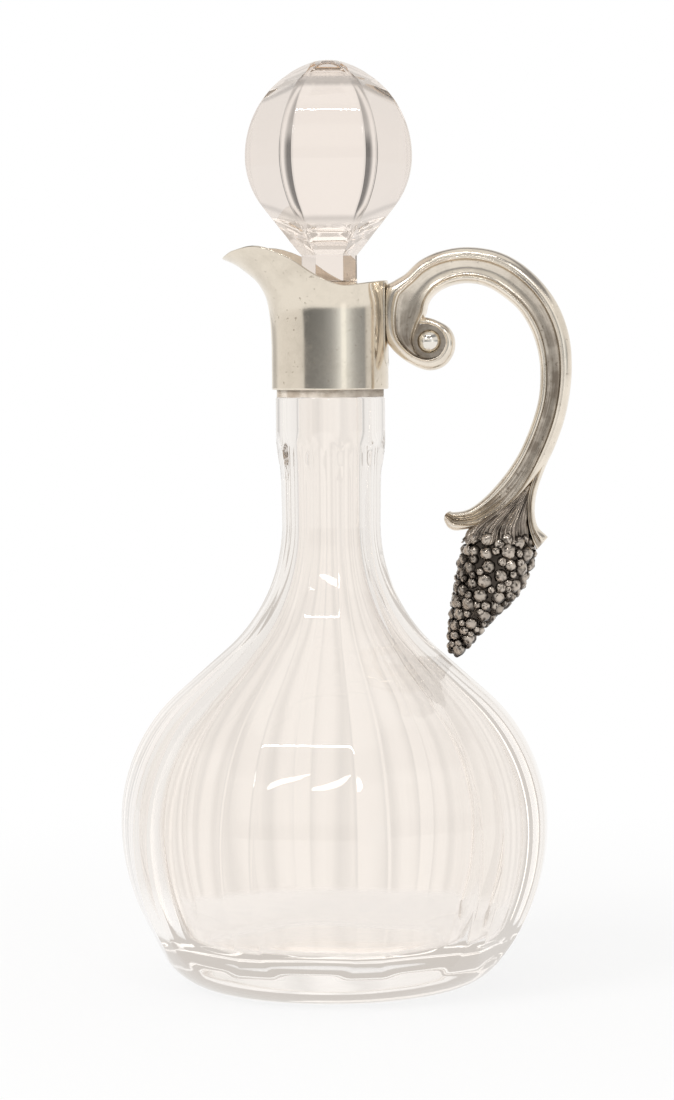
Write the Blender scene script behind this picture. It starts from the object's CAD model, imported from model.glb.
"""A silver-mounted cut-glass claret jug on a pale floor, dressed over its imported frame.

Metres. The jug's axis is Z, its handle points along +X and its pouring lip along -X.
"""

import math
import random

import bmesh
import bpy
from mathutils import Matrix, Quaternion, Vector
from mathutils import noise as chance_field


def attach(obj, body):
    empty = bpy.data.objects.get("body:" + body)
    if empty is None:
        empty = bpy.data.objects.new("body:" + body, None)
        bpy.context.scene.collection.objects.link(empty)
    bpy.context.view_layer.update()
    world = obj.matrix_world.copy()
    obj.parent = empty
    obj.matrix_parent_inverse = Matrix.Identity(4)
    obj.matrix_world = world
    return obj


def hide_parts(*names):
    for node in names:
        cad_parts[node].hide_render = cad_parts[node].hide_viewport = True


MM = 0.001

# Glass body, in millimetres and degrees.
BELLY_HEIGHT = 53.0
BELLY_RADIUS = 70.8
BELLY_CURVE = 73.0
SHOULDER_CURVE = 58.0
SHOULDER_SLOPE = 48.5
FLARE_CURVE = 55.0
WAIST_RADIUS = 16.3
THROAT_HEIGHT = 165.0
THROAT_RADIUS = 16.5
FLUTE_END_CURVE = 63.9
FLUTE_END = 182.0
NECK_RADIUS = 18.0
MOUTH_RADIUS = 15.6
MOUTH_BOTTOM = 194.0
MOUTH_TOP = 226.0
WALL = 5.9
FLUTE_COUNT = 10
FLUTE_HALF_ANGLE = 13.7
BEVEL_TOP = 16.0
BEVEL_SLOPE = 23.7

# Stopper, in millimetres and degrees.
HEAD_HEIGHT = 272.7
HEAD_RADIUS = 27.4
PANEL_COUNT = 6
PANEL_HALF_ANGLE = 24.9
PANEL_TOP = 296.8
PANEL_TOP_RADIUS = 16.53
PANEL_FOOT = 254.5
PANEL_FOOT_RADIUS = 20.4
STEM_FLAT = 7.85
STEM_RADIUS = 9.2
STEM_BOTTOM = 231.8
STEM_TOP = 240.3
CROWN_FLAT = 5.8
STOPPER_TOP = 304.0
STOPPER_TURN = 8.0

# Silver mount, in millimetres.
COLLAR_RADIUS = 18.4
COLLAR_WALL = 0.8
COLLAR_BOTTOM = 196.4
LIP_ROOT = 211.0
FLARE_FOOT = 222.0
LIP_REACH = 17.0
LIP_RISE = 32.4
LIP_PINCH = 3.4
RIM_FLARE = 0.0145
RIM_SOFTENING = 0.28
PLATE_RADIUS = 19.4
PLATE_HALF_WIDTH = 5.3
PLATE_BOTTOM = 203.4
PLATE_TOP = 231.4
PLATE_SHEET = 0.5
PLATE_STAND_OFF = 0.55
PLATE_BEAD = 0.45
HANDLE_FOOT = 200.0
HANDLE_REACH = 60.0
HANDLE_TOP = 242.5
HANDLE_DROP = 100.0
HANDLE_HALF_WIDTH = 4.9
REED_COUNT = 4
REED_START = 1.1
REED_SPAN = 0.8
REED_HEIGHT = 0.19
WELL_RADIUS = 6.2
WELL_RISE = 1.7
LEAF_COUNT = 9
LEAF_VEINS = 5
LEAF_TIP_DROP = 2.0
CALYX_RADIUS = 11.7
BUNCH_RADIUS = 12.7

# Relief of husk and berries, and how deep a berry sits, as shares of a radius.
LEAF_RELIEF = 0.09
VEIN_RELIEF = 0.025
HUSK_ROUGHNESS = 0.04
BERRY_DENTS = 0.13
BERRY_FOLDS = 0.22
BERRY_INSET = 0.92

# Camera and light: degrees from the front towards the handle, metres and shares.
CAMERA_SIDE = 8.0
CAMERA_DISTANCE = 1.15
CAMERA_HEIGHT = 0.215
CAMERA_LENS = 114.3
CAMERA_ROLL = -0.45
AIM_ASIDE = 0.0018
AIM_HEIGHT = 0.1434
LAMP_AIM_HEIGHT = 0.13
FLOOR_DROP = 0.00015
GLASS_IOR = 1.52

# The pouring lip's front line: shares of its rise and of its reach.
LIP_SHARES = [(0.00, 0.00), (0.22, 0.02), (0.42, 0.07), (0.54, 0.15), (0.66, 0.30),
              (0.76, 0.52), (0.84, 0.74), (0.90, 1.00), (0.95, 1.27), (1.02, 1.70)]

# The rim from the lip's tip to the handle: shares of the collar's radius and the rise.
RIM_SHARES = [(-2.60, 0.850), (-1.91, 0.898), (-1.64, 0.957), (-1.15, 1.000), (-0.57, 0.886),
              (-0.11, 0.713), (0.34, 0.602), (0.66, 0.618), (1.30, 0.675)]

# The handle bar from its curled end to the eye of the scroll, and the fork's prong. Each
# row has the outer and the inner edge as shares of reach and drop, the thickness, and how
# much of the width the domed back and the inner bead take.
BAR_SHARES = [
    (0.299, 0.889, 0.303, 0.877, 0.10, 0.60, 0.10), (0.304, 0.899, 0.314, 0.868, 0.36, 0.58, 0.10),
    (0.325, 0.918, 0.331, 0.863, 0.54, 0.52, 0.12), (0.367, 0.927, 0.352, 0.866, 0.60, 0.38, 0.16),
    (0.447, 0.919, 0.417, 0.860, 0.68, 0.20, 0.22), (0.520, 0.904, 0.475, 0.841, 0.72, 0.12, 0.26),
    (0.618, 0.867, 0.553, 0.800, 0.76, 0.09, 0.28), (0.722, 0.812, 0.645, 0.735, 0.80, 0.11, 0.26),
    (0.858, 0.713, 0.722, 0.661, 0.83, 0.28, 0.22), (0.945, 0.595, 0.788, 0.565, 0.86, 0.30, 0.22),
    (0.988, 0.489, 0.823, 0.483, 0.88, 0.31, 0.22), (1.002, 0.390, 0.829, 0.395, 0.90, 0.31, 0.21),
    (0.988, 0.292, 0.809, 0.321, 0.92, 0.31, 0.21), (0.935, 0.199, 0.771, 0.261, 0.94, 0.31, 0.21),
    (0.848, 0.121, 0.711, 0.205, 0.96, 0.31, 0.20), (0.727, 0.054, 0.620, 0.158, 0.98, 0.31, 0.20),
    (0.592, 0.014, 0.535, 0.129, 1.00, 0.31, 0.20), (0.435, 0.000, 0.443, 0.118, 1.00, 0.31, 0.20),
    (0.295, 0.011, 0.357, 0.124, 1.00, 0.31, 0.18), (0.180, 0.040, 0.287, 0.142, 1.00, 0.31, 0.15),
    (0.097, 0.084, 0.242, 0.165, 1.00, 0.31, 0.12), (0.037, 0.106, 0.218, 0.191, 1.00, 0.32, 0.09),
    (-0.02, 0.13, 0.207, 0.219, 1.00, 0.34, 0.07), (-0.047, 0.200, 0.172, 0.253, 1.00, 0.40, 0.04),
    (-0.03, 0.280, 0.143, 0.297, 0.98, 0.47, 0.02), (0.027, 0.335, 0.153, 0.331, 0.94, 0.60, 0.01),
    (0.110, 0.376, 0.183, 0.353, 0.90, 0.76, 0.01), (0.213, 0.401, 0.230, 0.361, 0.86, 0.88, 0.01),
    (0.303, 0.389, 0.283, 0.351, 0.82, 0.96, 0.01), (0.358, 0.347, 0.315, 0.323, 0.78, 0.98, 0.01),
    (0.365, 0.299, 0.318, 0.299, 0.74, 0.98, 0.01), (0.332, 0.261, 0.298, 0.275, 0.70, 0.98, 0.01),
    (0.267, 0.238, 0.260, 0.257, 0.62, 0.98, 0.01), (0.215, 0.228, 0.220, 0.250, 0.55, 0.98, 0.01),
    (0.172, 0.226, 0.176, 0.249, 0.50, 0.98, 0.01),
]
PRONG_SHARES = [
    (0.910, 0.650, 0.818, 0.640, 0.46, 0.42, 0.16), (0.853, 0.725, 0.812, 0.717, 0.56, 0.42, 0.16),
    (0.810, 0.800, 0.770, 0.795, 0.60, 0.42, 0.16), (0.797, 0.865, 0.760, 0.867, 0.62, 0.42, 0.16),
    (0.813, 0.913, 0.773, 0.929, 0.66, 0.42, 0.16), (0.860, 0.943, 0.803, 0.983, 0.62, 0.42, 0.16),
    (0.868, 0.948, 0.809, 0.989, 0.40, 0.42, 0.16),
]

# Half of the cross-section of bar and prong. Places 0 to 1 cross the domed back, 1 to 2
# the hollow and 2 to 3 the inner bead. Each row has a place, a thickness and how deep it
# lies.
BAR_SECTION = [
    (0.00, 0.00, 0.0), (0.04, 0.30, 0.0), (0.16, 0.56, 0.0), (0.36, 0.75, 0.0),
    (0.62, 0.85, 0.0), (0.80, 0.87, 0.25), (0.90, 0.95, 0.0), (0.97, 1.00, 0.0),
    (1.02, 0.95, 0.1), (1.08, 0.81, 0.6), (1.20, 0.70, 0.9), (1.45, 0.62, 1.0),
    (1.70, 0.64, 1.0), (1.90, 0.72, 0.8), (1.98, 0.84, 0.3), (2.12, 0.90, 0.0),
    (2.42, 0.87, 0.0), (2.72, 0.70, 0.0), (2.92, 0.40, 0.0), (3.00, 0.00, 0.0),
]
PRONG_SECTION = [
    (0.00, 0.00, 0.0), (0.10, 0.42, 0.0), (0.35, 0.76, 0.0), (0.70, 0.95, 0.0),
    (1.00, 0.92, 0.2), (1.40, 0.78, 0.8), (1.80, 0.82, 0.6), (2.05, 0.98, 0.0),
    (2.50, 1.00, 0.0), (2.85, 0.66, 0.2), (3.00, 0.00, 0.6),
]

# How dark the hollow is at a row of the bar and at a row of the prong.
CHANNEL_SHADES = [(0, 0.5), (4, 0.75), (8, 0.9), (11, 0.85), (13.5, 0.55), (16, 0.22), (19, 0.18),
                  (21.5, 0.5), (24, 0.85), (33, 0.9)]
PRONG_SHADES = [(0, 0.9), (3, 1.1), (6, 0.9)]

# The eye of the scroll, as shares of the handle's reach and drop.
EYE = (0.227, 0.306)

# Middle of the calyx and of the bunch as shares of reach and drop, and share of the radius.
CALYX_SHARES = [(0.777, 0.765, 0.09), (0.720, 0.822, 0.29), (0.660, 0.872, 0.56),
                (0.607, 0.915, 0.84), (0.588, 0.947, 1.00)]
BUNCH_SHARES = [(0.603, 0.947, 0.89), (0.597, 1.001, 1.00), (0.571, 1.055, 0.99),
                (0.543, 1.109, 0.92), (0.500, 1.159, 0.79), (0.457, 1.201, 0.64),
                (0.423, 1.243, 0.51), (0.394, 1.279, 0.40), (0.373, 1.309, 0.30),
                (0.362, 1.331, 0.18)]

# The berries at the tip: share of the bunch's length, angle and radius.
TIP_BERRIES = [(0.91, -1.3, 2.5), (1.0, 1.2, 1.5)]

# The other berries: smallest and largest radius, how many are tried, and how far two must
# stand apart as a share of their radii.
BERRY_CLASSES = [(2.6, 3.2, 1500, 0.76), (2.1, 2.6, 3000, 0.74), (1.5, 2.0, 5000, 0.70)]

# The light on paths that go round inside the glass for longer than a picture follows them.
CAUGHT_LIGHT = (0.31, 0.29, 0.27, 1)

# How warm and cool walls shift their brightness in red, green and blue.
WARM_TONE = (1.0, 0.985, 0.965)
COOL_TONE = (0.96, 1.0, 1.03)

# What silver and glass mirror: degrees from the front towards the handle's side,
# brightness, and 1 where the wall looks cool.
MIRRORED = [
    (-180, 1.0, 0), (-152, 1.0, 0), (-142, 0.62, 0), (-128, 0.62, 0), (-116, 0.92, 0),
    (-62, 0.88, 0), (-46, 0.80, 0), (-42, 0.14, 1), (-28, 0.16, 1), (-6, 0.25, 1), (10, 0.40, 1),
    (20, 0.62, 1), (28, 0.90, 1), (36, 1.0, 1), (44, 0.88, 1), (53, 0.62, 1), (62, 0.44, 1),
    (80, 0.34, 1), (86, 0.74, 0), (100, 0.85, 0), (154, 0.95, 0), (180, 1.0, 0),
]

# Above the mirrored walls: between which two heights of the direction a tone takes over.
CEILING = [(0.10, 0.22, (0.84, 0.83, 0.81, 1)), (0.50, 0.62, (0.30, 0.30, 0.31, 1)),
           (0.80, 0.88, (0.84, 0.83, 0.81, 1))]

# What shows through the glass: degrees away from straight behind the jug, brightness, and
# 1 where it looks cool. The shallow dip brings out the flutes.
THROUGH = [
    (0, 1.0, 0), (3.5, 0.98, 0), (7.5, 0.85, 0), (11.5, 0.90, 0), (14, 0.96, 0), (24, 0.93, 0),
    (50, 0.89, 0), (60, 0.88, 0), (66, 0.60, 0), (73, 0.90, 0), (81, 0.76, 0), (88, 0.92, 0),
    (104, 0.90, 0), (111, 0.70, 0), (118, 0.92, 0), (134, 0.90, 0), (141, 0.70, 0),
    (149, 0.92, 0), (162, 0.90, 0), (170, 0.68, 0), (180, 0.84, 0),
]

# Dark flags on each side of the background, two thin and one broad, which draw the
# stopper's ribs: degrees away from straight behind the jug, darkness and no tint.
FLAGS = [
    (0, 0, 0), (12.3, 0, 0), (13.0, 0.84, 0), (15.9, 0.80, 0), (16.7, 0, 0), (18.2, 0, 0),
    (18.8, 0.7, 0), (20.6, 0.6, 0), (21.6, 0, 0), (25, 0, 0), (27, 0.75, 0), (34, 0.6, 0),
    (36.5, 0, 0), (180, 0, 0),
]

# The windows that glint on the body: degrees from the front towards the handle's side,
# and width.
WINDOWS = [(-30, 0.24), (-10.5, 0.012), (-9.1, 0.016), (24, 0.15), (60.2, 0.014)]


def smooth_row(rows, place):
    """The row at a fractional index of a table, on a smooth curve through its rows."""
    last = len(rows) - 1
    index = min(int(place), last - 1)
    t = place - index
    b, c = rows[index], rows[index + 1]
    a = rows[index - 1] if index > 0 else [2 * p - q for p, q in zip(b, c)]
    d = rows[index + 2] if index + 2 <= last else [2 * q - p for p, q in zip(b, c)]
    return [0.5 * (2 * q + (r - p) * t + (2 * p - 5 * q + 4 * r - s) * t * t
                   + (3 * q - p - 3 * r + s) * t ** 3) for p, q, r, s in zip(a, b, c, d)]


def table_value(rows, x):
    """Smooth value of a table of (x, value) rows at x."""
    index = 0
    while index < len(rows) - 2 and x > rows[index + 1][0]:
        index += 1
    low, high = rows[index], rows[index + 1]
    span = high[0] - low[0]
    t = min(max((x - low[0]) / span, 0), 1)

    def tangent(at):
        before, after = rows[max(at - 1, 0)], rows[min(at + 1, len(rows) - 1)]
        return (after[1] - before[1]) / (after[0] - before[0]) * span

    return ((2 * t ** 3 - 3 * t * t + 1) * low[1] + (t ** 3 - 2 * t * t + t) * tangent(index)
            + (3 * t * t - 2 * t ** 3) * high[1] + (t ** 3 - t * t) * tangent(index + 1))


def smoothstep(low, high, x):
    """0 below low and 1 above high, with a smooth rise between."""
    t = min(max((x - low) / (high - low), 0), 1)
    return t * t * (3 - 2 * t)


def bend(start, finish, turn, steps):
    """Points after start, up to finish, along an arc that bends left by turn degrees."""
    p, q = Vector(start), Vector(finish)
    if turn == 0:
        return [tuple(p.lerp(q, (i + 1) / steps)) for i in range(steps)]
    half = math.radians(turn) / 2
    left = Vector((p.y - q.y, q.x - p.x)).normalized()
    centre = (p + q) / 2 + left * ((q - p).length / 2 / math.tan(half))
    arm = p - centre
    angles = [2 * half * (i + 1) / steps for i in range(steps)]
    return [(centre.x + arm.x * math.cos(a) - arm.y * math.sin(a),
             centre.y + arm.x * math.sin(a) + arm.y * math.cos(a)) for a in angles]


def outline(corners):
    """Points through corners of (radius, height, turn of the edge that arrives, steps)."""
    points = [corners[0][:2]]
    for across, height, turn, steps in corners[1:]:
        points += bend(points[-1], (across, height), turn, steps)
    return points


def finish_mesh(bm, name, body, sharp):
    """Turn a mesh built in millimetres into a smooth piece that rides on a body."""
    bmesh.ops.scale(bm, vec=(MM, MM, MM), verts=bm.verts)
    bmesh.ops.recalc_face_normals(bm, faces=bm.faces)
    mesh = bpy.data.meshes.new(name)
    bm.to_mesh(mesh)
    bm.free()
    mesh.shade_smooth()
    mesh.set_sharp_from_angle(angle=math.radians(sharp))
    piece = bpy.data.objects.new(name, mesh)
    bpy.context.collection.objects.link(piece)
    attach(piece, body)
    return piece


def thicken(piece, thickness):
    """Give a sheet its thickness, in millimetres, on its inner side."""
    wall = piece.modifiers.new("wall", "SOLIDIFY")
    wall.thickness = thickness * MM
    wall.offset = -1


def turn_about(bm, angle, axis):
    """Turn a mesh about an axis through the origin, by degrees."""
    bmesh.ops.rotate(bm, verts=bm.verts, cent=(0, 0, 0),
                     matrix=Matrix.Rotation(math.radians(angle), 3, axis))


def spin_meridian(points, columns):
    """Sweep a meridian of (radius, height) points round the axis."""
    bm = bmesh.new()
    verts = [bm.verts.new((r, 0, z)) for r, z in points]
    edges = [bm.edges.new(pair) for pair in zip(verts, verts[1:])]
    bmesh.ops.spin(bm, geom=verts + edges, axis=(0, 0, 1), cent=(0, 0, 0),
                   angle=2 * math.pi, steps=columns, use_merge=True)
    bmesh.ops.remove_doubles(bm, verts=bm.verts, dist=0.001)
    return bm


def cut_offsets(half, pitch):
    """Column angles from the middle of a cut, gathered at its slightly rounded edges."""
    shares = (0.25, 0.48, 0.68, 0.84, 0.945, 0.975, 1.02, 1.05)
    near = [half * share for share in shares]
    return [-pitch / 2] + [-angle for angle in reversed(near)] + [0] + near


def cut_columns(bm, count, offsets, limit):
    """Plane flat cuts off a round blank. limit(z) is a cut's distance from the axis."""
    pitch = 2 * math.pi / count
    for vert in bm.verts:
        radius = math.hypot(vert.co.x, vert.co.y)
        if radius < 0.01:
            continue  # on the axis
        turned = math.atan2(vert.co.y, vert.co.x) % (2 * math.pi)
        cut, column = divmod(round(turned / pitch * len(offsets)), len(offsets))
        offset = math.radians(offsets[column])
        distance = limit(vert.co.z)
        if distance is not None:
            radius = min(radius, distance / math.cos(offset))
        angle = pitch * (cut + 0.5) + offset
        vert.co.x = radius * math.cos(angle)
        vert.co.y = radius * math.sin(angle)


def body_corners():
    """The shoulder, the flare and the waist of the jug's outside, as (radius, height)."""
    slope = math.radians(SHOULDER_SLOPE)
    shoulder = Vector((BELLY_RADIUS - SHOULDER_CURVE * (1 - math.cos(slope)),
                       BELLY_HEIGHT + SHOULDER_CURVE * math.sin(slope)))
    flare_radius = WAIST_RADIUS + FLARE_CURVE * (1 - math.cos(slope))
    flare = Vector((flare_radius, shoulder.y + (shoulder.x - flare_radius) / math.tan(slope)))
    waist = Vector((WAIST_RADIUS, flare.y + FLARE_CURVE * math.sin(slope)))
    return shoulder, flare, waist


def lower_radius(drop, curve=BELLY_CURVE):
    """The belly's radius at a drop below its widest height."""
    return BELLY_RADIUS - BELLY_CURVE + math.sqrt(curve * curve - drop * drop)


def flute_distance(z):
    """How far a flute's flat lies from the axis at a height, or None above its end."""
    share = math.cos(math.radians(FLUTE_HALF_ANGLE))
    shoulder, flare, waist = body_corners()
    if z < BEVEL_TOP:
        bevel = share * lower_radius(BELLY_HEIGHT - BEVEL_TOP)
        return bevel - (BEVEL_TOP - z) * math.tan(math.radians(BEVEL_SLOPE))
    if z < BELLY_HEIGHT:
        return share * lower_radius(BELLY_HEIGHT - z)
    if z < shoulder.y:
        rise = z - BELLY_HEIGHT
        return share * (BELLY_RADIUS - SHOULDER_CURVE + math.sqrt(SHOULDER_CURVE ** 2 - rise ** 2))
    if z < flare.y:
        return share * shoulder.lerp(flare, (z - shoulder.y) / (flare.y - shoulder.y)).x
    if z < waist.y:
        rise = waist.y - z
        return share * (WAIST_RADIUS + FLARE_CURVE - math.sqrt(FLARE_CURVE ** 2 - rise ** 2))
    if z < THROAT_HEIGHT:
        climb = (z - waist.y) / (THROAT_HEIGHT - waist.y)
        return share * (WAIST_RADIUS + (THROAT_RADIUS - WAIST_RADIUS) * climb)
    if z < FLUTE_END:
        curve, rise = FLUTE_END_CURVE, z - THROAT_HEIGHT
        return share * THROAT_RADIUS + curve - math.sqrt(curve ** 2 - rise ** 2)
    return None


def build_glass_body():
    """The hollow body, with its cut flutes, foot bevels and polished mouth."""
    shoulder, flare, waist = body_corners()
    slope = math.radians(SHOULDER_SLOPE)
    inward = Vector((math.cos(slope), math.sin(slope))) * WALL
    base = [(0, 0, 0, 0), (40, 0, 0, 5), (42, 0, 0, 1), (lower_radius(45), 8, 41.7, 10)]
    outside = [
        (BELLY_RADIUS, BELLY_HEIGHT, 38.06, 34), (*shoulder, SHOULDER_SLOPE, 36), (*flare, 0, 14),
        (*waist, -SHOULDER_SLOPE, 34), (THROAT_RADIUS, THROAT_HEIGHT, 0, 8),
        (17.25, 172.3, -11.75, 14), (NECK_RADIUS, 179.6, 11.75, 22),
        (NECK_RADIUS, MOUTH_BOTTOM - 0.6, 0, 8),
    ]
    mouth = [
        (NECK_RADIUS - 0.6, MOUTH_BOTTOM, 90, 4), (MOUTH_RADIUS, MOUTH_BOTTOM, 0, 2),
        (MOUTH_RADIUS, MOUTH_TOP - 0.8, 0, 10), (MOUTH_RADIUS - 0.8, MOUTH_TOP, 90, 4),
        (11.36, MOUTH_TOP, 0, 2), (10.46, 197, 0, 8),
    ]
    inside = [
        (WAIST_RADIUS - WALL, waist.y, 0, 10), (*(flare - inward), SHOULDER_SLOPE, 24),
        (*(shoulder - inward), 0, 8), (BELLY_RADIUS - WALL, BELLY_HEIGHT, -SHOULDER_SLOPE, 26),
        (lower_radius(32, BELLY_CURVE - WALL), 21, -28.5, 16), (38, 13, -58, 10),
        (0, 14.5, 4.5, 8),
    ]
    points = outline(base + outside + mouth + inside)
    offsets = cut_offsets(FLUTE_HALF_ANGLE, 360 / FLUTE_COUNT)
    bm = spin_meridian(points, FLUTE_COUNT * len(offsets))
    cut_columns(bm, FLUTE_COUNT, offsets, flute_distance)
    return finish_mesh(bm, "fluted_body", "jug", sharp=24)


def arc_radius(end, middle, z):
    """Radius at z on the arc that is upright at middle and passes through end."""
    across = middle[0] - end[0]
    along = middle[1] - end[1]
    radius = (across ** 2 + along ** 2) / (2 * across)
    return middle[0] - radius + math.sqrt(radius ** 2 - (z - middle[1]) ** 2)


def panel_distance(z):
    """How far a panel of the stopper lies from its axis, or None below the panels."""
    share = math.cos(math.radians(PANEL_HALF_ANGLE))
    middle = (share * HEAD_RADIUS, HEAD_HEIGHT)
    foot = (share * PANEL_FOOT_RADIUS, PANEL_FOOT)
    top = (share * PANEL_TOP_RADIUS, PANEL_TOP)
    if z < STEM_BOTTOM:
        return None
    if z < STEM_TOP:
        return STEM_FLAT
    if z < PANEL_FOOT:
        return STEM_FLAT + (foot[0] - STEM_FLAT) * (z - STEM_TOP) / (PANEL_FOOT - STEM_TOP)
    if z < HEAD_HEIGHT:
        return arc_radius(foot, middle, z)
    if z < PANEL_TOP:
        return arc_radius(top, middle, z)
    return top[0] - (z - PANEL_TOP) * (top[0] - CROWN_FLAT) / (STOPPER_TOP - PANEL_TOP)


def build_glass_stopper():
    """The solid stopper: six broad panels on its head, a flat-sided stem and a plug."""
    points = outline([
        (0, 197, 0, 0), (9.7, 197, 0, 4), (10.4, 197.7, 90, 4), (11.3, MOUTH_TOP, 0, 10),
        (STEM_RADIUS, 230, 0, 2), (STEM_RADIUS, STEM_BOTTOM - 0.1, 0, 1),
        (STEM_RADIUS, STEM_BOTTOM + 0.1, 0, 1), (STEM_RADIUS, STEM_TOP, 0, 6),
        (21.36, 255.71, 0, 18), (HEAD_RADIUS, HEAD_HEIGHT, 39.2, 24), (6.5, 302.8, 69.5, 64),
        (0, STOPPER_TOP, 20.92, 8),
    ])
    offsets = cut_offsets(PANEL_HALF_ANGLE, 360 / PANEL_COUNT)
    bm = spin_meridian(points, PANEL_COUNT * len(offsets))
    cut_columns(bm, PANEL_COUNT, offsets, panel_distance)
    turn_about(bm, STOPPER_TURN, "Z")
    return finish_mesh(bm, "panelled_stopper", "stopper", sharp=24)


def collar_point(angle, z):
    """A point on the collar's outside, at an angle from the handle's side."""
    up = (z - LIP_ROOT) / LIP_RISE
    out = table_value(LIP_SHARES, up) if up > 0 else 0
    along, across = math.cos(angle), math.sin(angle)
    rise = max(z - FLARE_FOOT, 0)
    upright = smoothstep(0.7, 0.93, along)
    flare = 1 + RIM_FLARE * rise * rise / COLLAR_RADIUS * (1 - upright)
    if along >= 0:
        return Vector((COLLAR_RADIUS * flare * along, COLLAR_RADIUS * flare * across, z))
    across *= 1 + (flare - 1) * (1 + along)
    pinch = LIP_PINCH / COLLAR_RADIUS * out / LIP_SHARES[-1][1]
    nose = COLLAR_RADIUS + out * LIP_REACH
    return Vector((nose * along, COLLAR_RADIUS * across * (1 - pinch * along * along), z))


def rim_height(angle):
    """The height at which the collar meets the side line of its rim."""
    low, high = LIP_ROOT + 10, LIP_ROOT + LIP_RISE + 2
    for _ in range(40):
        middle = (low + high) / 2
        along = collar_point(angle, middle).x / COLLAR_RADIUS
        if LIP_ROOT + LIP_RISE * table_value(RIM_SHARES, along) > middle:
            low = middle
        else:
            high = middle
    return low


def build_collar():
    """The raised collar with its pouring lip, in thin sheet with a softened rim."""
    columns, rows = 144, 64
    bm = spin_meridian([(COLLAR_RADIUS, i) for i in range(rows + 1)], columns)
    rims = [rim_height(2 * math.pi * step / columns) for step in range(columns)]
    for vert in bm.verts:
        step = round(math.atan2(vert.co.y, vert.co.x) / (2 * math.pi) * columns) % columns
        z = COLLAR_BOTTOM + (rims[step] - COLLAR_BOTTOM) * vert.co.z / rows
        vert.co = collar_point(2 * math.pi * step / columns, z)
    piece = finish_mesh(bm, "collar_and_lip", "jug", sharp=60)
    thicken(piece, COLLAR_WALL)
    edge = piece.modifiers.new("edge", "BEVEL")
    edge.width = RIM_SOFTENING * MM
    edge.segments = 3
    edge.limit_method = "ANGLE"
    edge.angle_limit = math.radians(50)
    return piece


def on_handle(share_x, share_z, y=0.0):
    """A point from shares of the handle's reach and drop."""
    return Vector((PLATE_RADIUS + HANDLE_REACH * share_x, y, HANDLE_TOP - HANDLE_DROP * share_z))


def grid_surface(columns, rows, place):
    """A sheet of columns by rows. place(u, v) gives a point and how deep it lies."""
    bm = bmesh.new()
    bmesh.ops.create_grid(bm, x_segments=columns, y_segments=rows, size=0.5)
    layer = bm.verts.layers.float.new("depth")
    for vert in bm.verts:
        vert.co, vert[layer] = place(vert.co.x + 0.5, vert.co.y + 0.5)
    return bm


def close_ends(bm):
    """Sew the seam of a rolled-up sheet and fill its open ends."""
    bmesh.ops.remove_doubles(bm, verts=bm.verts, dist=0.002)
    bmesh.ops.holes_fill(bm, edges=[edge for edge in bm.edges if edge.is_boundary])


def half_bar(stations, section, side, columns, rows, shades, reeds):
    """One half of a bar: its worked side, and the flat on the middle plane.

    Shades tell how dark its hollow is along it, reeds(along) how high its reeds stand.
    Up to the worked share of u the sheet is the worked side, and past it the flat.
    """
    worked = 0.9

    def place(u, v):
        along = v * (len(stations) - 1)
        ox, oz, ix, iz, thick, dome, bead = smooth_row(stations, along)
        outer, inner = on_handle(ox, oz), on_handle(ix, iz)
        key, rise, depth = smooth_row(section, min(u / worked, 1) * (len(section) - 1))
        hollow = max(1 - dome - bead, 0)
        across = min(key, 1) * dome + min(max(key - 1, 0), 1) * hollow + max(key - 2, 0) * bead
        if REED_START < key < REED_START + REED_SPAN:
            wave = math.sin((key - REED_START) / REED_SPAN * REED_COUNT * math.pi)
            crest = reeds(along) * wave ** 2
            rise += crest
            depth *= 1 - 5 * crest
        grain = chance_field.noise(Vector((u * 90, along * 0.8, side * 7)))
        depth *= table_value(shades, along) * (1 + 0.5 * grain)
        if u > worked:
            across, rise, depth = (1 - u) / (1 - worked), 0, 0
        point = outer.lerp(inner, min(max(across, 0), 1))
        point.y = side * max(rise, 0) * thick * HANDLE_HALF_WIDTH
        if point.z > HANDLE_FOOT and math.hypot(point.x, point.y) < PLATE_RADIUS:
            point.x = math.sqrt(PLATE_RADIUS ** 2 - point.y ** 2)
        return point, depth

    bm = grid_surface(columns, rows, place)
    close_ends(bm)
    return bm


def join_meshes(target, source):
    """Add one built mesh to another."""
    mesh = bpy.data.meshes.new("part")
    source.to_mesh(mesh)
    source.free()
    target.from_mesh(mesh)
    bpy.data.meshes.remove(mesh)


def build_handle_half(name, side):
    """One cast half of the forked scroll handle."""
    bm = half_bar(BAR_SHARES, BAR_SECTION, side, columns=96, rows=360, shades=CHANNEL_SHADES,
                  reeds=lambda along: REED_HEIGHT * (1 - smoothstep(4, 9, along)))
    prong = half_bar(PRONG_SHARES, PRONG_SECTION, side, columns=48, rows=72,
                     shades=PRONG_SHADES, reeds=lambda along: 0)
    join_meshes(bm, prong)
    well = bmesh.new()
    layer = well.verts.layers.float.new("depth")
    middle = Matrix.Translation(on_handle(*EYE, side * WELL_RISE / 2))
    bmesh.ops.create_cone(well, cap_ends=True, segments=64, radius1=WELL_RADIUS,
                          radius2=WELL_RADIUS, depth=WELL_RISE,
                          matrix=middle @ Matrix.Rotation(math.pi / 2, 4, "X"))
    for vert in well.verts:
        vert[layer] = 1.0
    join_meshes(bm, well)
    return finish_mesh(bm, name, "jug", sharp=50)


def build_boss(name, side):
    """The polished button in the eye of the scroll."""
    points = outline([(0, 0, 0, 0), (3.9, 0, 0, 3), (3.9, 0.35, 0, 2), (3.6, 0.9, 40, 3),
                      (0, 3.0, 56, 14)])
    bm = spin_meridian(points, 56)
    turn_about(bm, -90 * side, "X")
    bmesh.ops.translate(bm, verts=bm.verts, vec=on_handle(*EYE, side * WELL_RISE))
    return finish_mesh(bm, name, "jug", sharp=40)


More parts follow.
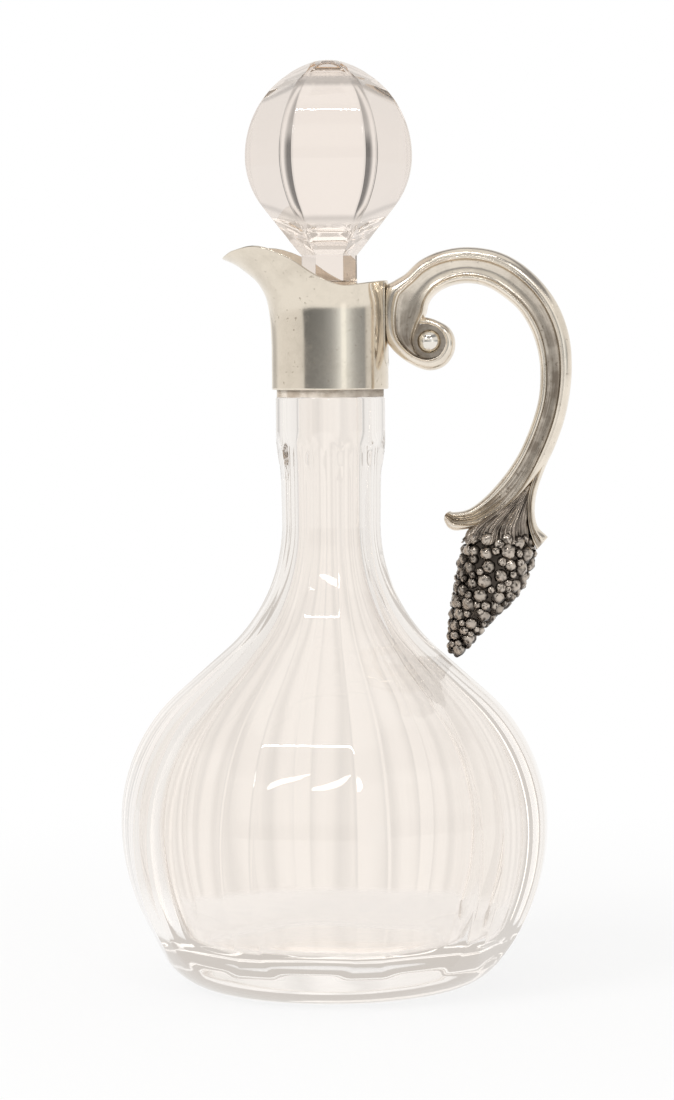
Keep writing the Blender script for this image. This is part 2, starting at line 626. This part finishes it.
def build_plate():
    """The tongue-shaped plate between collar and handle, with a raised edge."""
    half, bottom = PLATE_HALF_WIDTH, PLATE_BOTTOM

    def place(u, v):
        across = u * 2 - 1
        z = bottom + (PLATE_TOP - bottom) * v
        narrow = half
        if z < bottom + half:
            narrow = math.sqrt(max(half ** 2 - (bottom + half - z) ** 2, 0.01))
        y = across * narrow
        edge = min(1 - abs(across), (z - bottom) / half) * narrow
        bead = smoothstep(0, 0.35, edge) * (1 - 0.55 * smoothstep(0.9, 1.5, edge))
        radius = COLLAR_RADIUS + PLATE_STAND_OFF + PLATE_BEAD * bead
        return Vector((math.sqrt(radius ** 2 - y ** 2), y, z)), 0.5 * smoothstep(1.0, 1.6, edge)

    bm = grid_surface(columns=56, rows=90, place=place)
    piece = finish_mesh(bm, "handle_backplate", "jug", sharp=60)
    thicken(piece, PLATE_SHEET)
    return piece


def hanging(rows, share):
    """Centre and radius share of the calyx or the bunch at a share of its length."""
    x, z, wide = smooth_row(rows, min(max(share, 0), 1) * (len(rows) - 1))
    return on_handle(x, z), wide


def build_calyx():
    """The husk: overlapping pointed leaves, finely veined, from the fork to the grapes."""

    def place(u, v):
        centre, wide = hanging(CALYX_SHARES, v)
        twist = u + 0.05 * (1 - v)
        leaf = (twist * LEAF_COUNT) % 1
        bow = math.sin(math.pi * leaf)
        veins = math.sin(2 * math.pi * LEAF_VEINS * leaf * (0.6 + 0.4 * v))
        angle = 2 * math.pi * u
        rough = chance_field.noise(Vector((6 * math.cos(angle), 6 * math.sin(angle), v * 7)))
        relief = (LEAF_RELIEF * (1 - bow ** 0.6) + VEIN_RELIEF * (1 - veins)
                  + HUSK_ROUGHNESS * rough)
        radius = CALYX_RADIUS * wide * (1 - relief * smoothstep(0.0, 0.35, v))
        drop = -LEAF_TIP_DROP * bow ** 1.5 * smoothstep(0.7, 1, v)
        depth = min(max(0.25 + 8 * relief, 0), 1.3)
        return centre + Vector((math.cos(angle) * radius, math.sin(angle) * radius, drop)), depth

    bm = grid_surface(columns=360, rows=60, place=place)
    close_ends(bm)
    return finish_mesh(bm, "leaf_husk", "jug", sharp=70)


def berry(share, angle, size):
    """Middle, radius and stalk point of one berry on the outside of the bunch."""
    centre, wide = hanging(BUNCH_SHARES, share)
    spread = max(BUNCH_RADIUS * wide - size * BERRY_INSET, 0)
    return centre + Vector((math.cos(angle), math.sin(angle), 0)) * spread, size, centre


def berry_places(chance):
    """Berries all over the bunch: those at the tip, large ones, then smaller in the gaps."""
    berries = [berry(*row) for row in TIP_BERRIES]
    for small, large, tries, crowd in BERRY_CLASSES:
        for _ in range(tries):
            share = chance.uniform(0.0, 0.98)
            new = berry(share, chance.uniform(0, 2 * math.pi),
                        chance.uniform(small, large) * (1.03 - 0.22 * share))
            if all((other - new[0]).length > (wide + new[1]) * crowd
                   for other, wide, _ in berries):
                berries.append(new)
    return berries


def build_bunch():
    """A tight bunch of uneven berries, grown into one dark casting."""
    berries = berry_places(random.Random(11))
    bm = bmesh.new()
    layer = bm.verts.layers.float.new("depth")
    for middle, size, centre in berries:
        made = bmesh.ops.create_icosphere(bm, subdivisions=3, radius=size,
                                          matrix=Matrix.Translation(middle))
        out = (middle - centre).normalized() if middle != centre else Vector((0, 0, -1))
        for vert in made["verts"]:
            arm = vert.co - middle
            dents = chance_field.noise(vert.co * 0.9)
            folds = abs(chance_field.noise(vert.co * 1.3))
            vert.co = middle + arm * (1 + BERRY_DENTS * dents - BERRY_FOLDS * folds)
            crown = smoothstep(0.35, 0.85, arm.dot(out) / size) * smoothstep(0.0, 0.12, folds)
            vert[layer] = 1.4 * (1 - crown)

    def core(u, v):
        centre, wide = hanging(BUNCH_SHARES, v)
        angle = 2 * math.pi * u
        radius = max(BUNCH_RADIUS * wide - 1.5, 0.5)
        return centre + Vector((math.cos(angle) * radius, math.sin(angle) * radius, 0)), 2.0

    inner = grid_surface(columns=48, rows=40, place=core)
    close_ends(inner)
    join_meshes(bm, inner)
    return finish_mesh(bm, "grapes", "jug", sharp=80)


def new_group(name, inputs, outputs):
    """An empty node group with named inputs (name, kind, value) and outputs."""
    tree = bpy.data.node_groups.new(name, "ShaderNodeTree")
    for label, kind, value in inputs:
        socket = tree.interface.new_socket(label, in_out="INPUT", socket_type=kind)
        socket.default_value = value
    for label, kind in outputs:
        tree.interface.new_socket(label, in_out="OUTPUT", socket_type=kind)
    return tree, tree.nodes.new("NodeGroupInput"), tree.nodes.new("NodeGroupOutput")


def noise(tree, source, scale, detail=4.0, rough=0.55):
    """Soft noise over a place in space."""
    node = tree.nodes.new("ShaderNodeTexNoise")
    node.inputs["Scale"].default_value = scale
    node.inputs["Detail"].default_value = detail
    node.inputs["Roughness"].default_value = rough
    tree.links.new(source, node.inputs["Vector"])
    return node.outputs["Fac"]


def ramp(tree, source, low, high, to_low=0.0, to_high=1.0):
    """A smooth rise from to_low to to_high while the source goes from low to high."""
    node = tree.nodes.new("ShaderNodeMapRange")
    node.interpolation_type = "SMOOTHSTEP"
    for name, value in (("From Min", low), ("From Max", high),
                        ("To Min", to_low), ("To Max", to_high)):
        node.inputs[name].default_value = value
    tree.links.new(source, node.inputs["Value"])
    return node.outputs["Result"]


def maths(tree, operation, first, second=0.0):
    """A maths node of numbers or sockets."""
    node = tree.nodes.new("ShaderNodeMath")
    node.operation = operation
    for socket, value in zip(node.inputs, (first, second)):
        if isinstance(value, (int, float)):
            socket.default_value = value
        else:
            tree.links.new(value, socket)
    return node.outputs["Value"]


def blend_colours(tree, factor, first, second):
    """From the first to the second colour, each a tuple or a socket, by a factor."""
    node = tree.nodes.new("ShaderNodeMix")
    node.data_type = "RGBA"
    tree.links.new(factor, node.inputs["Factor"])
    for name, value in (("A", first), ("B", second)):
        socket = next(s for s in node.inputs if s.name == name and s.type == "RGBA")
        if isinstance(value, tuple):
            socket.default_value = value
        else:
            tree.links.new(value, socket)
    return next(s for s in node.outputs if s.type == "RGBA")


def bump(tree, height, strength, distance):
    """A normal bent by a height."""
    node = tree.nodes.new("ShaderNodeBump")
    node.inputs["Strength"].default_value = strength
    node.inputs["Distance"].default_value = distance
    tree.links.new(height, node.inputs["Height"])
    return node.outputs["Normal"]


def worn_silver_group():
    """Old silver: a tarnish film, specks, dark hollows and a slightly uneven surface."""
    tree, start, end = new_group("worn_silver", [
        ("Bright", "NodeSocketColor", (0.80, 0.76, 0.69, 1)),
        ("Tarnish", "NodeSocketColor", (0.30, 0.26, 0.21, 1)),
        ("Film", "NodeSocketFloat", 0.3),
        ("Depth", "NodeSocketFloat", 0.0),
        ("Gloss", "NodeSocketFloat", 0.12),
        ("Uneven", "NodeSocketFloat", 1.0),
    ], [
        ("Color", "NodeSocketColor"),
        ("Roughness", "NodeSocketFloat"),
        ("Normal", "NodeSocketVector"),
    ])
    place = tree.nodes.new("ShaderNodeTexCoord").outputs["Object"]
    cloud = noise(tree, place, 75, detail=8, rough=0.65)
    cloud = ramp(tree, cloud, 0.40, 0.74, to_high=0.75)
    specks = ramp(tree, noise(tree, place, 620, rough=0.6), 0.62, 0.72, to_high=1.6)
    film = maths(tree, "MULTIPLY", maths(tree, "ADD", cloud, specks), start.outputs["Film"])
    patchy = ramp(tree, noise(tree, place, 260, detail=5), 0.25, 0.7, to_low=0.55)
    hollow = maths(tree, "MULTIPLY", start.outputs["Depth"], patchy)
    dark = maths(tree, "MINIMUM", maths(tree, "ADD", film, hollow), 1.0)
    colour = blend_colours(tree, dark, start.outputs["Bright"], start.outputs["Tarnish"])
    tree.links.new(colour, end.inputs["Color"])
    rough = maths(tree, "ADD", start.outputs["Gloss"], maths(tree, "MULTIPLY", dark, 0.2))
    grain = maths(tree, "MULTIPLY", noise(tree, place, 900, detail=3), 0.05)
    rough = maths(tree, "ADD", rough, grain)
    tree.links.new(rough, end.inputs["Roughness"])
    soft = maths(tree, "MULTIPLY", noise(tree, place, 45, detail=2), 2.0)
    fine = maths(tree, "MULTIPLY", noise(tree, place, 700, detail=3), 0.12)
    height = maths(tree, "MULTIPLY", maths(tree, "ADD", soft, fine), start.outputs["Uneven"])
    normal = bump(tree, height, strength=0.10, distance=0.0002)
    tree.links.new(normal, end.inputs["Normal"])
    return tree


def glass_group():
    """The slight waves and hairline wear of old hand-cut glass."""
    tree, start, end = new_group("old_cut_glass", [
        ("Wave", "NodeSocketFloat", 1.0),
        ("Wear", "NodeSocketFloat", 0.3),
    ], [("Normal", "NodeSocketVector"), ("Roughness", "NodeSocketFloat")])
    place = tree.nodes.new("ShaderNodeTexCoord").outputs["Object"]
    waves = maths(tree, "MULTIPLY", noise(tree, place, 30, detail=1.5), start.outputs["Wave"])
    tree.links.new(bump(tree, waves, strength=0.22, distance=0.0012), end.inputs["Normal"])
    worn = ramp(tree, noise(tree, place, 420, detail=5, rough=0.7), 0.6, 0.8, to_high=0.05)
    tree.links.new(maths(tree, "MULTIPLY", worn, start.outputs["Wear"]), end.inputs["Roughness"])
    return tree


def new_material(name):
    """A material with its node tree and its shader."""
    material = bpy.data.materials.new(name)
    material.use_nodes = True
    return material, material.node_tree, material.node_tree.nodes["Principled BSDF"]


def use_group(tree, shader, group, values):
    """Put a group in a material, set its inputs and lead its outputs to the shader."""
    node = tree.nodes.new("ShaderNodeGroup")
    node.node_tree = group
    for name, value in values.items():
        node.inputs[name].default_value = value
    for output in node.outputs:
        target = "Base Color" if output.name == "Color" else output.name
        tree.links.new(output, shader.inputs[target])
    return node


def silver(name, group, bright, tarnish, film, gloss, uneven=1.0, relief=False):
    """Worn silver. With relief, the piece's own depth darkens its hollows."""
    material, tree, shader = new_material(name)
    shader.inputs["Metallic"].default_value = 1.0
    node = use_group(tree, shader, group, {
        "Bright": (*bright, 1), "Tarnish": (*tarnish, 1), "Film": film, "Gloss": gloss,
        "Uneven": uneven,
    })
    if relief:
        mask = tree.nodes.new("ShaderNodeAttribute")
        mask.attribute_name = "depth"
        tree.links.new(mask.outputs["Fac"], node.inputs["Depth"])
    return material


def glass(name, group, tint, wave, wear):
    """Clear glass of a tint, with the light that long paths inside it would bring."""
    material, tree, shader = new_material(name)
    shader.inputs["Base Color"].default_value = (*tint, 1)
    shader.inputs["Transmission Weight"].default_value = 1.0
    shader.inputs["IOR"].default_value = GLASS_IOR
    shader.inputs["Emission Strength"].default_value = 1.0
    path = tree.nodes.new("ShaderNodeLightPath")
    caught = maths(tree, "GREATER_THAN", path.outputs["Glossy Depth"], 3.5)
    tree.links.new(blend_colours(tree, caught, (0, 0, 0, 1), CAUGHT_LIGHT),
                   shader.inputs["Emission Color"])
    use_group(tree, shader, group, {"Wave": wave, "Wear": wear})
    return material


def plaster_material():
    """Stained old plaster of Paris."""
    material, tree, shader = new_material("aged_plaster")
    place = tree.nodes.new("ShaderNodeTexCoord").outputs["Object"]
    stains = ramp(tree, noise(tree, place, 180, detail=5), 0.35, 0.7)
    colour = blend_colours(tree, stains, (0.72, 0.65, 0.57, 1), (0.42, 0.35, 0.28, 1))
    tree.links.new(colour, shader.inputs["Base Color"])
    shader.inputs["Roughness"].default_value = 0.85
    grain = bump(tree, noise(tree, place, 2600), strength=0.5, distance=0.0002)
    tree.links.new(grain, shader.inputs["Normal"])
    return material


def paint(piece, material):
    """Give a piece one material."""
    piece.data.materials.clear()
    piece.data.materials.append(material)


def seen_rays(tree):
    """1 for rays that show the background: to the camera, mirrored or through glass."""
    path = tree.nodes.new("ShaderNodeLightPath")
    direct = maths(tree, "MAXIMUM", path.outputs["Is Camera Ray"], path.outputs["Is Glossy Ray"])
    return maths(tree, "MAXIMUM", direct, path.outputs["Is Transmission Ray"])


def build_floor():
    """A white sweep that keeps a breath of the jug's shadow. Glass shows it only near the foot."""
    bm = bmesh.new()
    bmesh.ops.create_grid(bm, x_segments=1, y_segments=1, size=4)
    mesh = bpy.data.meshes.new("floor")
    bm.to_mesh(mesh)
    bm.free()
    floor = bpy.data.objects.new("floor", mesh)
    floor.location.z = -FLOOR_DROP
    bpy.context.collection.objects.link(floor)
    material, tree, shader = new_material("pale_floor")
    shader.inputs["Base Color"].default_value = (0.90, 0.89, 0.88, 1)
    shader.inputs["Roughness"].default_value = 0.8
    shader.inputs["Specular IOR Level"].default_value = 0.2
    white = tree.nodes.new("ShaderNodeEmission")
    white.inputs["Color"].default_value = (1, 1, 1, 1)
    mix = tree.nodes.new("ShaderNodeMixShader")
    far = tree.nodes.new("ShaderNodeVectorMath")
    far.operation = "LENGTH"
    tree.links.new(tree.nodes.new("ShaderNodeTexCoord").outputs["Object"], far.inputs[0])
    fade = ramp(tree, far.outputs["Value"], 0.1, 0.45, to_low=0.85)
    tree.links.new(maths(tree, "MULTIPLY", seen_rays(tree), fade), mix.inputs["Fac"])
    tree.links.new(shader.outputs["BSDF"], mix.inputs[1])
    tree.links.new(white.outputs["Emission"], mix.inputs[2])
    beyond = ramp(tree, far.outputs["Value"], 0.1, 0.16)
    path = tree.nodes.new("ShaderNodeLightPath")
    open_floor = tree.nodes.new("ShaderNodeMixShader")
    tree.links.new(maths(tree, "MULTIPLY", path.outputs["Is Transmission Ray"], beyond),
                   open_floor.inputs["Fac"])
    tree.links.new(mix.outputs["Shader"], open_floor.inputs[1])
    gap = tree.nodes.new("ShaderNodeBsdfTransparent")
    tree.links.new(gap.outputs["BSDF"], open_floor.inputs[2])
    tree.links.new(open_floor.outputs["Shader"], tree.nodes["Material Output"].inputs["Surface"])
    mesh.materials.append(material)


def wall_colours(tree, share, walls):
    """The colour of a wall whose brightness follows the direction round the jug."""
    node = tree.nodes.new("ShaderNodeValToRGB")
    tree.links.new(share, node.inputs["Fac"])
    elements = node.color_ramp.elements
    low, high = walls[0][0], walls[-1][0]
    for index, (angle, value, cool) in enumerate(walls):
        if index in (0, len(walls) - 1):
            element = elements[min(index, len(elements) - 1)]
        else:
            element = elements.new((angle - low) / (high - low))
        element.position = (angle - low) / (high - low)
        tone = COOL_TONE if cool else WARM_TONE
        element.color = (*(min(value * part, 1) for part in tone), 1)
    return node.outputs["Color"]


def build_world():
    """White for the camera; one set of soft walls for mirrors, another seen through glass."""
    world = bpy.data.worlds.new("studio")
    bpy.context.scene.world = world
    world.use_nodes = True
    tree = world.node_tree
    direction = tree.nodes.new("ShaderNodeTexCoord").outputs["Generated"]
    split = tree.nodes.new("ShaderNodeSeparateXYZ")
    tree.links.new(direction, split.inputs["Vector"])
    front = maths(tree, "MULTIPLY", split.outputs["Y"], -1.0)
    around = maths(tree, "ARCTAN2", split.outputs["X"], front)
    share = maths(tree, "ADD", maths(tree, "DIVIDE", around, 2 * math.pi), 0.5)
    aside = maths(tree, "SUBTRACT", around, math.radians(CAMERA_SIDE))
    behind = maths(tree, "MULTIPLY", maths(tree, "COSINE", aside), -1.0)
    away = maths(tree, "ARCCOSINE", behind)
    path = tree.nodes.new("ShaderNodeLightPath")
    mirrored = wall_colours(tree, share, MIRRORED)
    height = split.outputs["Z"]
    for low, high, tone in CEILING:
        mirrored = blend_colours(tree, ramp(tree, height, low, high), mirrored, tone)
    away = maths(tree, "DIVIDE", away, math.pi)
    through = wall_colours(tree, away, THROUGH)
    # Rays that went straight through one solid piece of glass: the stopper's, not the body's.
    straight = maths(tree, "LESS_THAN", path.outputs["Ray Depth"], 3.5)
    flags = maths(tree, "MULTIPLY", wall_colours(tree, away, FLAGS),
                  ramp(tree, height, -0.16, -0.02, to_low=0.6))
    steep = maths(tree, "ABSOLUTE", height)
    above = ramp(tree, steep, 0.58, 0.68, to_high=0.45)
    flags = maths(tree, "MULTIPLY", maths(tree, "MAXIMUM", flags, above), straight)
    through = blend_colours(tree, flags, through, (0, 0, 0, 1))
    through = blend_colours(tree, ramp(tree, height, 0.55, 0.8), through, (0.90, 0.89, 0.87, 1))
    room = blend_colours(tree, path.outputs["Is Transmission Ray"], mirrored, through)
    back = tree.nodes["Background"]
    tree.links.new(room, back.inputs["Color"])
    white = tree.nodes.new("ShaderNodeBackground")
    white.inputs["Color"].default_value = (1, 1, 1, 1)
    mix = tree.nodes.new("ShaderNodeMixShader")
    tree.links.new(path.outputs["Is Camera Ray"], mix.inputs["Fac"])
    tree.links.new(back.outputs["Background"], mix.inputs[1])
    tree.links.new(white.outputs["Background"], mix.inputs[2])
    tree.links.new(mix.outputs["Shader"], tree.nodes["World Output"].inputs["Surface"])


def build_lamp(name, side, height, distance, width, tall, energy, shape="RECTANGLE"):
    """An area lamp in a direction: degrees from the front towards the handle's side.

    No lamp is seen through the glass.
    """
    turn = math.radians(side)
    data = bpy.data.lights.new(name, "AREA")
    data.shape = shape
    data.size = width
    data.size_y = tall
    data.energy = energy
    lamp = bpy.data.objects.new(name, data)
    lamp.visible_transmission = False
    lamp.location = (distance * math.sin(turn), -distance * math.cos(turn), height)
    aim = Vector((0, 0, LAMP_AIM_HEIGHT)) - lamp.location
    lamp.rotation_euler = aim.to_track_quat("-Z", "Y").to_euler()
    bpy.context.collection.objects.link(lamp)
    return lamp


def build_camera():
    """The camera in front of the jug, a little towards its handle."""
    turn = math.radians(CAMERA_SIDE)
    data = bpy.data.cameras.new("camera")
    data.lens = CAMERA_LENS
    camera = bpy.data.objects.new("camera", data)
    camera.location = (CAMERA_DISTANCE * math.sin(turn), -CAMERA_DISTANCE * math.cos(turn),
                       CAMERA_HEIGHT)
    aim = Vector((AIM_ASIDE * math.cos(turn), AIM_ASIDE * math.sin(turn), AIM_HEIGHT))
    look = (aim - camera.location).to_track_quat("-Z", "Y")
    roll = Quaternion((0, 0, 1), math.radians(CAMERA_ROLL))
    camera.rotation_euler = (look @ roll).to_euler()
    bpy.context.collection.objects.link(camera)
    bpy.context.scene.camera = camera
    bpy.context.scene.view_settings.view_transform = "Standard"


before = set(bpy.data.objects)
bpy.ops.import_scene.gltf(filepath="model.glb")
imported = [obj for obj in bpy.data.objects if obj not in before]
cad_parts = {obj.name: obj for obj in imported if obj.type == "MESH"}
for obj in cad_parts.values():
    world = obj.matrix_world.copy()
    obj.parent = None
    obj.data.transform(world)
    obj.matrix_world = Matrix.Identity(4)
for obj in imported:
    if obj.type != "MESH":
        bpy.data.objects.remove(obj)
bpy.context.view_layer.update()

body = build_glass_body()
stopper = build_glass_stopper()
collar = build_collar()
plate = build_plate()
left = build_handle_half("handle_left", -1)
right = build_handle_half("handle_right", 1)
left_boss = build_boss("boss_left", -1)
right_boss = build_boss("boss_right", 1)
calyx = build_calyx()
bunch = build_bunch()

metal = worn_silver_group()
clear = glass_group()
handle_metal = silver("handle_silver", metal, (0.86, 0.78, 0.67), (0.24, 0.20, 0.16),
                      film=0.30, gloss=0.16, uneven=2.0, relief=True)
boss_metal = silver("boss_silver", metal, (0.84, 0.80, 0.73), (0.24, 0.21, 0.18),
                    film=0.2, gloss=0.08)

for piece, node, slot, material in (
        (body, "glass_body", "body_glass",
         glass("body_crystal", clear, (0.972, 0.942, 0.914), wave=0.4, wear=0.3)),
        (stopper, "glass_stopper", "stopper_glass",
         glass("stopper_crystal", clear, (0.895, 0.822, 0.769), wave=0.6, wear=0.2)),
        (collar, "silver_collar", "collar_silver",
         silver("collar_silver", metal, (0.785, 0.71, 0.60), (0.30, 0.25, 0.19),
                film=0.34, gloss=0.09)),
        (plate, "handle_plate", "plate_silver",
         silver("plate_silver", metal, (0.82, 0.77, 0.68), (0.20, 0.17, 0.14),
                film=0.4, gloss=0.14, relief=True)),
        (left, "handle_left_half", "handle_silver", handle_metal),
        (right, "handle_right_half", "handle_silver", handle_metal),
        (left_boss, "scroll_boss_left", "boss_silver", boss_metal),
        (right_boss, "scroll_boss_right", "boss_silver", boss_metal),
        (calyx, "leaf_calyx", "calyx_silver",
         silver("calyx_silver", metal, (0.52, 0.45, 0.38), (0.085, 0.070, 0.058),
                film=0.4, gloss=0.18, uneven=3.0, relief=True)),
        (bunch, "grape_bunch", "grape_silver",
         silver("grape_silver", metal, (0.58, 0.51, 0.44), (0.065, 0.054, 0.045),
                film=0.8, gloss=0.06, uneven=60.0, relief=True))):
    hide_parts(node)
    paint(piece, material)
paint(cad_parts["plaster_bed"], plaster_material())

build_floor()
build_world()
key = build_lamp("key", side=-40, height=1.3, distance=1.7, width=0.9, tall=1.0, energy=20)
key.visible_glossy = False
build_lamp("strip", side=35, height=0.45, distance=1.6, width=0.30, tall=1.2, energy=0.25)
for side, width in WINDOWS:
    build_lamp("window", side, height=1.15, distance=1.6, width=width, tall=0.34,
               energy=7 * width, shape="ELLIPSE")
build_lamp("overhead", side=-6, height=1.15, distance=0.7, width=0.7, tall=0.03, energy=1.5)
build_camera()
